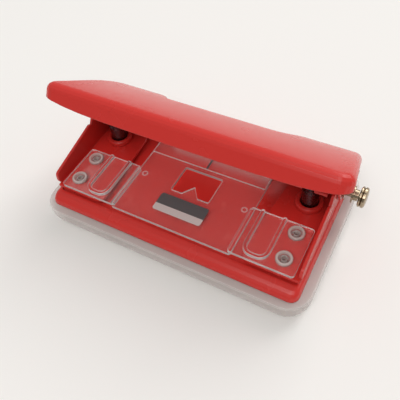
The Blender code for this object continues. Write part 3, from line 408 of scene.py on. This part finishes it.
@dataclass(frozen=True)
class MouldedStyrene:
    """Clear polystyrene, injection moulded and polished.

    Clear on its faces, with faint flow ripples from the gate and fine handling haze. Its moulded
    edges and upright sides are a little frosted, so they gather light and show as pale lines.
    """

    name: str
    colour: str = "#F4F6F5"
    roughness: float = 0.05
    haze: float = 0.06
    haze_from: float = 0.45
    haze_to: float = 0.75
    scuff_mm: float = 1.6
    ripple_mm: float = 9.0
    ripple_depth_mm: float = 0.05
    ripple_strength: float = 0.25
    edge_mm: float = 0.25
    edge_frost: float = 0.9
    side_frost: float = 0.5
    face_frost: float = 0.03
    frost_roughness: float = 0.3
    side_starts: float = 0.75
    side_full: float = 0.35
    shadow: float = 0.04
    ior: float = STYRENE_IOR

    def make(self) -> bpy.types.Material:
        """Build the clear plastic.

        Returns:
            The material.
        """
        material = blank(self.name)
        tree = material.node_tree
        place = add_node(tree, "ShaderNodeTexCoord")
        # Flow ripples of the moulding, about a wall's width long.
        ripple = noise(tree, place.outputs["Object"], self.ripple_mm, 1.0)
        # Fine scuffs, drawn coarser than the real ones so that they show as haze.
        scuff = noise(tree, place.outputs["Object"], self.scuff_mm, 6.0, 0.7)
        edge = rounded(tree, self.edge_mm)
        # Upright side faces keep the mould's finer grain, so they are frosted too.
        parts = add_node(tree, "ShaderNodeSeparateXYZ", {"Vector": place.outputs["Normal"]})
        level = add_node(tree, "ShaderNodeMath", {0: parts.outputs["Z"]}, operation="ABSOLUTE")
        side = add_node(
            tree,
            "ShaderNodeMapRange",
            {
                "Value": level.outputs["Value"],
                "From Min": self.side_starts,
                "From Max": self.side_full,
                "To Min": self.face_frost,
                "To Max": self.side_frost,
            },
        )
        frosted = add_node(
            tree,
            "ShaderNodeMath",
            {0: edge_share(tree, edge, self.edge_frost), 1: side.outputs["Result"]},
            operation="MAXIMUM",
        )
        share = frosted.outputs["Value"]
        haze = add_node(
            tree,
            "ShaderNodeMapRange",
            {
                "Value": scuff,
                "From Min": self.haze_from,
                "From Max": self.haze_to,
                "To Min": self.roughness,
                "To Max": self.roughness + self.haze,
            },
        )
        frost = add_node(
            tree,
            "ShaderNodeMath",
            {0: share, 1: self.frost_roughness, 2: haze.outputs["Result"]},
            operation="MULTIPLY_ADD",
        )
        clear = add_node(tree, "ShaderNodeMath", {0: 1.0, 1: share}, operation="SUBTRACT")
        normal = relief(tree, ripple, self.ripple_strength, self.ripple_depth_mm)
        # Light that falls through clear plastic still reaches what lies under it.
        path = add_node(tree, "ShaderNodeLightPath")
        cover = between(tree, path.outputs["Is Shadow Ray"], 1.0, self.shadow)
        principled(
            material,
            {
                "Base Color": linear(self.colour),
                "Roughness": frost.outputs["Value"],
                "Normal": normal,
                "IOR": self.ior,
                "Transmission Weight": clear.outputs["Value"],
                "Alpha": cover,
            },
        )
        return material


@dataclass(frozen=True)
class HazedStyrene:
    """Clear polystyrene with thick, folded walls.

    Light goes round inside the walls and leaves them milky: a pale body that lets what lies
    behind it show through. Its whiter edges are a painted highlight.
    """

    name: str
    colour: str
    highlight_edge_colour: str
    body: float
    edge_body: float
    shadow: float = 0.92
    cloud_mm: float = 7.0
    cloud_swing: float = 0.025
    roughness: float = 0.18
    smoother: float = 0.05
    rougher: float = 0.08
    edge_mm: float = 0.3
    ior: float = STYRENE_IOR

    def make(self) -> bpy.types.Material:
        """Build the milky plastic.

        Returns:
            The material.
        """
        material = blank(self.name)
        tree = material.node_tree
        place = add_node(tree, "ShaderNodeTexCoord").outputs["Object"]
        # Cloudy streaks in the wall, a few millimetres long.
        cloud = noise(tree, place, self.cloud_mm, 2.0)
        edge = rounded(tree, self.edge_mm)
        share = edge_share(tree, edge, 1.0)
        # Whiter colour at the edges: painted highlight.
        tint = add_node(
            tree,
            "ShaderNodeMix",
            {"Factor": share, "A": linear(self.colour), "B": linear(self.highlight_edge_colour)},
            data_type="RGBA",
        )
        streak = between(tree, cloud, self.body - self.cloud_swing, self.body + self.cloud_swing)
        whole = add_node(
            tree,
            "ShaderNodeMath",
            {0: share, 1: self.edge_body - self.body, 2: streak},
            operation="MULTIPLY_ADD",
        )
        # The folded walls scatter the light that enters them, so they shade the table.
        path = add_node(tree, "ShaderNodeLightPath")
        veil = add_node(
            tree,
            "ShaderNodeMath",
            {0: path.outputs["Is Shadow Ray"], 1: self.shadow},
            operation="MULTIPLY",
        )
        cover = add_node(
            tree,
            "ShaderNodeMath",
            {0: whole.outputs["Value"], 1: veil.outputs["Value"]},
            operation="MAXIMUM",
        )
        gloss = between(
            tree, cloud, self.roughness - self.smoother, self.roughness + self.rougher
        )
        principled(
            material,
            {
                "Base Color": tint.outputs["Result"],
                "Roughness": gloss,
                "Normal": edge,
                "IOR": self.ior,
                "Alpha": cover.outputs["Value"],
            },
        )
        return material


@dataclass(frozen=True)
class DishedRivet:
    """Clear polystyrene rivet head with a dished middle.

    Its raised edge is painted pale as a highlight ring. The dish is clear, with fine rings from
    the turned mould, and the hole in its middle is painted dark as shade.
    """

    name: str = "moulded_styrene_rivet"
    rim_highlight: str = "#E9E5DF"
    dish: str = "#B9ABA6"
    bore_shade: str = "#7A4A46"
    roughness: float = 0.16
    rougher: float = 0.1
    ring_count: float = 7.25
    ring_depth_mm: float = 0.03
    ring_strength: float = 0.5
    ior: float = STYRENE_IOR

    def make(self) -> bpy.types.Material:
        """Build the rivet's plastic.

        Returns:
            The material.
        """
        material = blank(self.name)
        tree = material.node_tree
        place = add_node(tree, "ShaderNodeTexCoord")
        # Distance from the rivet's axis, 1 at the head's outer edge.
        spread = add_node(
            tree,
            "ShaderNodeVectorMath",
            {0: place.outputs["Generated"], 1: (2.0, 2.0, 0.0), 2: (-1.0, -1.0, 0.0)},
            operation="MULTIPLY_ADD",
        )
        radius = add_node(
            tree,
            "ShaderNodeVectorMath",
            {0: spread.outputs["Vector"]},
            operation="LENGTH",
        )
        tint = add_node(tree, "ShaderNodeValToRGB", {"Fac": radius.outputs["Value"]})
        body = add_node(tree, "ShaderNodeValToRGB", {"Fac": radius.outputs["Value"]})
        # Share of the head's radius, the colour there, and how solid the plastic looks.
        # The pale ring colours are a painted highlight, and the dark middle is a painted shade.
        stops = (
            (0.00, self.bore_shade, 0.62),
            (0.25, self.bore_shade, 0.62),
            (0.32, self.rim_highlight, 0.62),
            (0.40, self.dish, 0.30),
            (0.60, self.dish, 0.26),
            (0.72, self.rim_highlight, 0.64),
            (0.88, self.rim_highlight, 0.58),
            (1.00, self.dish, 0.45),
        )
        colours = [linear(colour) for _, colour, _ in stops]
        solids = [(solid, solid, solid, 1.0) for _, _, solid in stops]
        for ramp, values in ((tint, colours), (body, solids)):
            marks = ramp.color_ramp.elements
            while len(marks) < len(stops):
                marks.new(1.0)
            for mark, (share, _, _), value in zip(marks, stops, values):
                mark.position = share
                mark.color = value
        # Turned rings of the mould, drawn at 0.4 mm because the real 0.1 mm can't show.
        wave = add_node(
            tree,
            "ShaderNodeMath",
            {0: radius.outputs["Value"], 1: math.tau * self.ring_count},
            operation="MULTIPLY",
        )
        sine = add_node(tree, "ShaderNodeMath", {0: wave.outputs["Value"]}, operation="SINE")
        rings = sine.outputs["Value"]
        normal = relief(tree, rings, self.ring_strength, self.ring_depth_mm)
        gloss = between(tree, rings, self.roughness, self.roughness + self.rougher)
        principled(
            material,
            {
                "Base Color": tint.outputs["Color"],
                "Roughness": gloss,
                "Normal": normal,
                "IOR": self.ior,
                "Alpha": body.outputs["Color"],
            },
        )
        return material


@dataclass(frozen=True)
class TurnedSteel:
    """Bare or plated metal that was turned, ground or drawn.

    Metal with fine tool marks, which break up what it mirrors and soften its highlights.
    """

    name: str
    colour: str
    roughness: float
    mark_mm: float
    depth_mm: float = 0.01
    strength: float = 0.2
    smoothest: float = 0.75
    roughest: float = 1.35

    def make(self) -> bpy.types.Material:
        """Build the metal.

        Returns:
            The material.
        """
        material = blank(self.name)
        tree = material.node_tree
        place = add_node(tree, "ShaderNodeTexCoord").outputs["Object"]
        # Tool marks, drawn at mark_mm because the real feed of about 0.05 mm can't show.
        marks = noise(tree, place, self.mark_mm, 4.0, 0.6)
        gloss = between(
            tree, marks, self.roughness * self.smoothest, self.roughness * self.roughest
        )
        normal = relief(tree, marks, self.strength, self.depth_mm)
        principled(
            material,
            {
                "Base Color": linear(self.colour),
                "Metallic": 1.0,
                "Roughness": gloss,
                "Normal": normal,
            },
        )
        return material


@dataclass(frozen=True)
class FoilLabel:
    """Thin printed foil, stuck on.

    A flat satin film with the faint grain of brushed foil under the ink.
    """

    name: str
    colour: str
    metallic: float
    roughness: float = 0.42
    smoother: float = 0.07
    rougher: float = 0.08
    grain_mm: float = 0.35
    grain_stretch: float = 0.06

    def make(self) -> bpy.types.Material:
        """Build the foil.

        Returns:
            The material.
        """
        material = blank(self.name)
        tree = material.node_tree
        place = add_node(tree, "ShaderNodeTexCoord")
        stretch = add_node(
            tree,
            "ShaderNodeMapping",
            {"Vector": place.outputs["Object"], "Scale": (self.grain_stretch, 1.0, 1.0)},
        )
        grain = noise(tree, stretch.outputs["Vector"], self.grain_mm, 3.0)
        gloss = between(
            tree, grain, self.roughness - self.smoother, self.roughness + self.rougher
        )
        principled(
            material,
            {
                "Base Color": linear(self.colour),
                "Metallic": self.metallic,
                "Roughness": gloss,
            },
        )
        return material


@dataclass(frozen=True)
class PaleCard:
    """Matt white card of a photographer's table."""

    name: str
    colour: str
    roughness: float = 0.9
    shine: float = 0.1

    def make(self) -> bpy.types.Material:
        """Build the card.

        Returns:
            The material.
        """
        material = blank(self.name)
        principled(
            material,
            {
                "Base Color": linear(self.colour),
                "Roughness": self.roughness,
                "Specular IOR Level": self.shine,
            },
        )
        return material


class Finishes:
    """The punch's finishes, each made once."""

    def __init__(self) -> None:
        """Make every finish."""
        # Warm red satin paint on every sheet-steel part and on the bushes.
        self.enamel = BakedEnamel().make()
        # Clear plate that shows the red bed, with pale edges.
        self.guide = MouldedStyrene("moulded_styrene_guide").make()
        # Pale rings, a painted highlight, round a middle painted dark as shade.
        self.rivet = DishedRivet().make()
        # Milky tray with whiter edges, which are a painted highlight.
        self.tray = HazedStyrene("moulded_styrene_tray", "#F3E9E5", "#FFFDFB", 0.48, 0.92).make()
        # Dark grey rods that mirror a little of the red round them.
        self.steel = TurnedSteel("oiled_tool_steel", "#6C6A6E", 0.26, 0.35).make()
        # Pale grey rivets, screws and axle.
        self.plated = TurnedSteel("zinc_plated_steel", "#BDBEBE", 0.32, 0.25).make()
        # Warm, bright metal of the lock.
        self.nickel = TurnedSteel("nickel_plated_brass", "#A8977F", 0.17, 0.5).make()
        # Mid-grey wire.
        self.wire = TurnedSteel("drawn_music_wire", "#8C8C8E", 0.33, 0.2).make()
        # Charcoal print and plain silver foil.
        self.ink = FoilLabel("printed_foil_dark", "#5B6061", 0.0).make()
        self.foil = FoilLabel("printed_foil_silver", "#DDDCD8", 0.15).make()


def dress(node: str, material: bpy.types.Material) -> None:
    """Give a CAD node its finish.

    Args:
        node: Name of the CAD node.
        material: Its finish.
    """
    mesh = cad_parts[node].data
    mesh.materials.clear()
    mesh.materials.append(material)
    LOG.info("dressed %s with %s", node, material.name)


def new_piece(
    name: str, bm: bmesh.types.BMesh, material: bpy.types.Material, body: Body
) -> None:
    """Turn a bmesh into a piece that rides on a body.

    Args:
        name: Name of the piece.
        bm: Its mesh, in the row frame, in metres.
        material: Its finish.
        body: The body that carries it.
    """
    bmesh.ops.recalc_face_normals(bm, faces=bm.faces)
    mesh = bpy.data.meshes.new(name)
    bm.to_mesh(mesh)
    bm.free()
    mesh.materials.append(material)
    mesh.shade_smooth()
    mesh.set_sharp_from_angle(angle=math.radians(SHARP_DEG))
    obj = bpy.data.objects.new(name, mesh)
    bpy.context.scene.collection.objects.link(obj)
    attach(obj, body.value)
    LOG.info("made %s on %s", name, body.value)


def rounded_plate(
    low: Vector, high: Vector, radius: float, square: tuple[int, ...] = ()
) -> bmesh.types.BMesh:
    """Build a thin plate with rounded plan corners.

    Args:
        low: Lowest corner.
        high: Highest corner.
        radius: Plan radius of its corners.
        square: Corner numbers, anticlockwise from the lowest, that stay square.

    Returns:
        The mesh.
    """
    bm = bmesh.new()
    spots = [(low.x, low.y), (high.x, low.y), (high.x, high.y), (low.x, high.y)]
    ring = []
    for number, (x, y) in enumerate(spots):
        if number in square:
            ring.append(bm.verts.new((x, y, low.z)))
            continue
        side = Vector((1 if number in (0, 3) else -1, 1 if number in (0, 1) else -1))
        centre = Vector((x, y)) + side * radius
        start = math.pi + number * math.pi / 2
        for step in range(CORNER_STEPS + 1):
            turn = start + math.pi / 2 * step / CORNER_STEPS
            x_at = centre.x + radius * math.cos(turn)
            y_at = centre.y + radius * math.sin(turn)
            ring.append(bm.verts.new((x_at, y_at, low.z)))
    face = bm.faces.new(ring)
    grown = bmesh.ops.extrude_face_region(bm, geom=[face])["geom"]
    top = [item for item in grown if isinstance(item, bmesh.types.BMVert)]
    bmesh.ops.translate(bm, vec=(0, 0, high.z - low.z), verts=top)
    return bm


@dataclass
class BaseAssembly:
    """Red bed, frame and paper stop with the fixings that hold them."""

    finishes: Finishes

    def build(self) -> None:
        """Dress the bed, the frame and the fixings."""
        for node in ("base_plate", "punch_frame", "paper_stop"):
            dress(node, self.finishes.enamel)
        for side in Side:
            for place in ("outer", "inner"):
                dress(f"frame_rivet_{side.word}_{place}", self.finishes.plated)
            dress(f"guide_screw_{side.word}", self.finishes.plated)
            dress(f"punch_bush_{side.word}", self.finishes.enamel)


@dataclass
class GuideAssembly:
    """Clear paper guide with its studs, bare label and centre mark."""

    finishes: Finishes
    top: float = 14.3 * MM
    label_half_width: float = 9.7 * MM
    label_front: float = -18.3 * MM
    label_split: float = -15.4 * MM
    label_rear: float = -10.5 * MM
    label_thickness: float = 0.09 * MM
    label_corner: float = 0.9 * MM
    band_rise: float = 0.4 * MM
    mark_width: float = 0.8 * MM
    mark_front: float = 5.9 * MM
    mark_rear: float = 10.8 * MM
    mark_thickness: float = 0.06 * MM
    mark_corner: float = 0.15 * MM
    ejector_x: float = 20.7 * MM
    ejector_y: float = -5.3 * MM
    ejector_radius: float = 1.1 * MM
    ejector_height: float = 0.1 * MM
    ejector_sunk: float = 0.01 * MM
    ejector_steps: int = 32
    merge_distance: float = 0.001 * MM

    def build(self) -> None:
        """Dress the moulding and add what is printed and moulded on it."""
        dress("paper_guide", self.finishes.guide)
        for side in Side:
            for place in ("front", "rear"):
                dress(f"guide_stud_{side.word}_{place}", self.finishes.rivet)
        self.label()
        self.centre_mark()
        for side in Side:
            self.ejector_mark(side)

    def label(self) -> None:
        """Lay the bare two-tone label on the guide."""
        bands = (
            ("label_dark_band", self.label_split, self.label_rear, (0, 1), self.finishes.ink),
            ("label_silver_band", self.label_front, self.label_split, (2, 3), self.finishes.foil),
        )
        for name, front, rear, square, finish in bands:
            low = Vector((-self.label_half_width, front, self.top + FILM_GAP))
            high = Vector((self.label_half_width, rear, self.top + self.label_thickness))
            bm = rounded_plate(low, high, self.label_corner, square)
            new_piece(name, bm, finish, Body.BASE)

    def centre_mark(self) -> None:
        """Print the grey centre line across the raised band."""
        band_top = self.top + self.band_rise
        low = Vector((-self.mark_width / 2, self.mark_front, band_top + FILM_GAP))
        high = Vector((self.mark_width / 2, self.mark_rear, band_top + self.mark_thickness))
        bm = rounded_plate(low, high, self.mark_corner)
        new_piece("centre_mark", bm, self.finishes.ink, Body.BASE)

    def ejector_mark(self, side: Side) -> None:
        """Raise the shallow ring that one of the mould's ejector pins leaves.

        Args:
            side: Side of the guide.
        """
        bm = bmesh.new()
        centre = Vector((side.value * self.ejector_x, self.ejector_y, self.top))
        # Ring's section: share of the pin's radius, and share of the ring's height.
        profile = ((0.70, 0), (0.78, 1), (1.0, 1), (1.08, 0))
        verts = []
        for share, rise in profile:
            height = rise * self.ejector_height - self.ejector_sunk
            verts.append(bm.verts.new(centre + Vector((share * self.ejector_radius, 0, height))))
        edges = [bm.edges.new(pair) for pair in zip(verts, verts[1:] + verts[:1])]
        bmesh.ops.spin(
            bm,
            geom=verts + edges,
            cent=centre,
            axis=(0, 0, 1),
            dvec=(0, 0, 0),
            angle=math.tau,
            steps=self.ejector_steps,
            use_merge=True,
            use_duplicate=False,
        )
        bmesh.ops.remove_doubles(bm, verts=bm.verts, dist=self.merge_distance)
        new_piece(f"ejector_mark_{side.word}", bm, self.finishes.guide, Body.BASE)


@dataclass
class HandleAssembly:
    """Red cover with its cheeks, press bar, axle, punches and the springs that lift it.

    The cover's sheet is slightly crowned towards its front edge, which the solid leaves flat.
    """

    finishes: Finishes
    hinge: Vector = field(default_factory=lambda: Vector((0, 22.0, 20.0)) * MM)
    tilt_deg: float = 34.0
    crown_start: float = 20.0 * MM

    def build(self) -> None:
        """Dress the handle and its hinge."""
        for node in ("press_bar", "cheek_left", "cheek_right"):
            dress(node, self.finishes.enamel)
        self.cover()
        dress("hinge_axle", self.finishes.plated)
        dress("axle_clip", self.finishes.wire)
        for side in Side:
            dress(f"return_spring_{side.word}", self.finishes.wire)
            dress(f"punch_{side.word}", self.finishes.steel)

    def cover(self) -> None:
        """Dress the cover in enamel that leans as its crowned sheet does."""
        tilt = math.radians(self.tilt_deg)
        forward = Vector((0, -math.cos(tilt), math.sin(tilt)))
        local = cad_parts["handle_cover"].matrix_world.inverted()
        direction = (local.to_3x3() @ forward).normalized()
        start = direction.dot(local @ (self.hinge + forward * self.crown_start))
        finish = BakedEnamel("baked_enamel_cover", crown=Crown(tuple(direction), start))
        dress("handle_cover", finish.make())


@dataclass
class LockAssembly:
    """Sliding pin, knob and bush at the right side."""

    finishes: Finishes

    def build(self) -> None:
        """Dress the lock."""
        for node in ("lock_bush", "lock_pin", "lock_knob"):
            dress(node, self.finishes.nickel)


@dataclass
class TrayAssembly:
    """Clear chip tray under the base."""

    finishes: Finishes

    def build(self) -> None:
        """Dress the tray."""
        dress("chip_tray", self.finishes.tray)


@dataclass
class Studio:
    """Pale table, soft lamps and the camera."""

    azimuth: float = 34.68
    elevation: float = 51.99
    roll: float = -8.06
    place: Vector = field(default_factory=lambda: Vector((65.1, -95.6, 150.6)) * MM)
    lens: float = 43.41
    sensor: float = 36.0
    nearest: float = 5.0 * MM
    pale: str = "#F4F2EF"
    table_half: float = 3.0
    table_drop: float = 0.02 * MM
    bright_side: tuple[float, float, float] = (-0.1, 0.45, 0.887)
    bright: float = 0.57
    dim: float = 0.32
    dim_from: float = -0.1
    aim: Vector = field(default_factory=lambda: Vector((0, 0, 0.02)))
    window_place: Vector = field(default_factory=lambda: Vector((0.5, 1.85, 1.85)))
    window_size: float = 1.6
    window_power: float = 33.0
    panel_place: Vector = field(default_factory=lambda: Vector((0.2, -1.25, 2.1)))
    panel_size: float = 1.2
    panel_power: float = 21.0

    def build(self) -> None:
        """Set up the table, the light and the camera."""
        self.table()
        self.lamps()
        self.camera()
        bpy.context.scene.view_settings.view_transform = "Standard"

    def table(self) -> None:
        """Lay a large pale card under the punch."""
        bm = bmesh.new()
        bmesh.ops.create_grid(bm, x_segments=4, y_segments=4, size=self.table_half)
        mesh = bpy.data.meshes.new("table_card")
        bm.to_mesh(mesh)
        bm.free()
        mesh.materials.append(PaleCard("pale_card", self.pale).make())
        obj = bpy.data.objects.new("table_card", mesh)
        obj.location.z = -self.table_drop
        bpy.context.scene.collection.objects.link(obj)

    def lamps(self) -> None:
        """Light the room with a window behind the punch and a panel over its front."""
        world = bpy.data.worlds.new("room")
        bpy.context.scene.world = world
        world.use_nodes = True
        tree = world.node_tree
        # The room is brightest over the back of the table and dimmest on the user's side.
        facing = add_node(tree, "ShaderNodeTexCoord")
        towards = add_node(
            tree,
            "ShaderNodeVectorMath",
            {0: facing.outputs["Generated"], 1: self.bright_side},
            operation="DOT_PRODUCT",
        )
        glow = add_node(
            tree,
            "ShaderNodeMapRange",
            {
                "Value": towards.outputs["Value"],
                "From Min": self.dim_from,
                "From Max": 1.0,
                "To Min": self.dim,
                "To Max": self.bright,
            },
        )
        # Seen directly, the backdrop is an even pale wall.
        path = add_node(tree, "ShaderNodeLightPath")
        level = add_node(
            tree,
            "ShaderNodeMix",
            {"Factor": path.outputs["Is Camera Ray"], "A": glow.outputs["Result"], "B": 1.0},
        )
        backdrop = tree.nodes["Background"]
        backdrop.inputs["Color"].default_value = linear(self.pale)
        tree.links.new(level.outputs["Result"], backdrop.inputs["Strength"])
        self.lamp("rear_window", self.window_place, self.window_size, self.window_power)
        self.lamp("ceiling_panel", self.panel_place, self.panel_size, self.panel_power)

    def lamp(self, name: str, spot: Vector, size: float, power: float) -> None:
        """Hang a square lamp that faces the punch.

        Args:
            name: Name of the lamp.
            spot: Where it hangs.
            size: Length of its side.
            power: Its power in watts.
        """
        light = bpy.data.lights.new(name, "AREA")
        light.size = size
        light.energy = power
        obj = bpy.data.objects.new(name, light)
        obj.location = spot
        obj.rotation_euler = (spot - self.aim).to_track_quat("Z", "Y").to_euler()
        bpy.context.scene.collection.objects.link(obj)

    def camera(self) -> None:
        """Place the camera at the photograph's angle."""
        turn = math.radians(self.azimuth)
        rise = math.radians(self.elevation)
        roll = math.radians(self.roll)
        right = Vector((math.cos(turn), math.sin(turn), 0))
        flat = math.cos(rise)
        back = Vector((math.sin(turn) * flat, -math.cos(turn) * flat, math.sin(rise)))
        over = back.cross(right)
        across = right * math.cos(roll) + over * math.sin(roll)
        upwards = over * math.cos(roll) - right * math.sin(roll)
        lens = bpy.data.cameras.new("photo_camera")
        lens.lens = self.lens
        lens.sensor_width = self.sensor
        lens.clip_start = self.nearest
        obj = bpy.data.objects.new("photo_camera", lens)
        aimed = Matrix((across, upwards, back)).transposed().to_4x4()
        obj.matrix_world = Matrix.Translation(self.place) @ aimed
        bpy.context.scene.collection.objects.link(obj)
        bpy.context.scene.camera = obj


def main() -> None:
    """Dress the punch and set the studio."""
    logging.basicConfig(level=logging.INFO, format="%(name)s: %(message)s")
    finishes = Finishes()
    BaseAssembly(finishes).build()
    GuideAssembly(finishes).build()
    HandleAssembly(finishes).build()
    LockAssembly(finishes).build()
    TrayAssembly(finishes).build()
    Studio().build()
    bpy.context.view_layer.update()


if __name__ == "__main__":
    main()
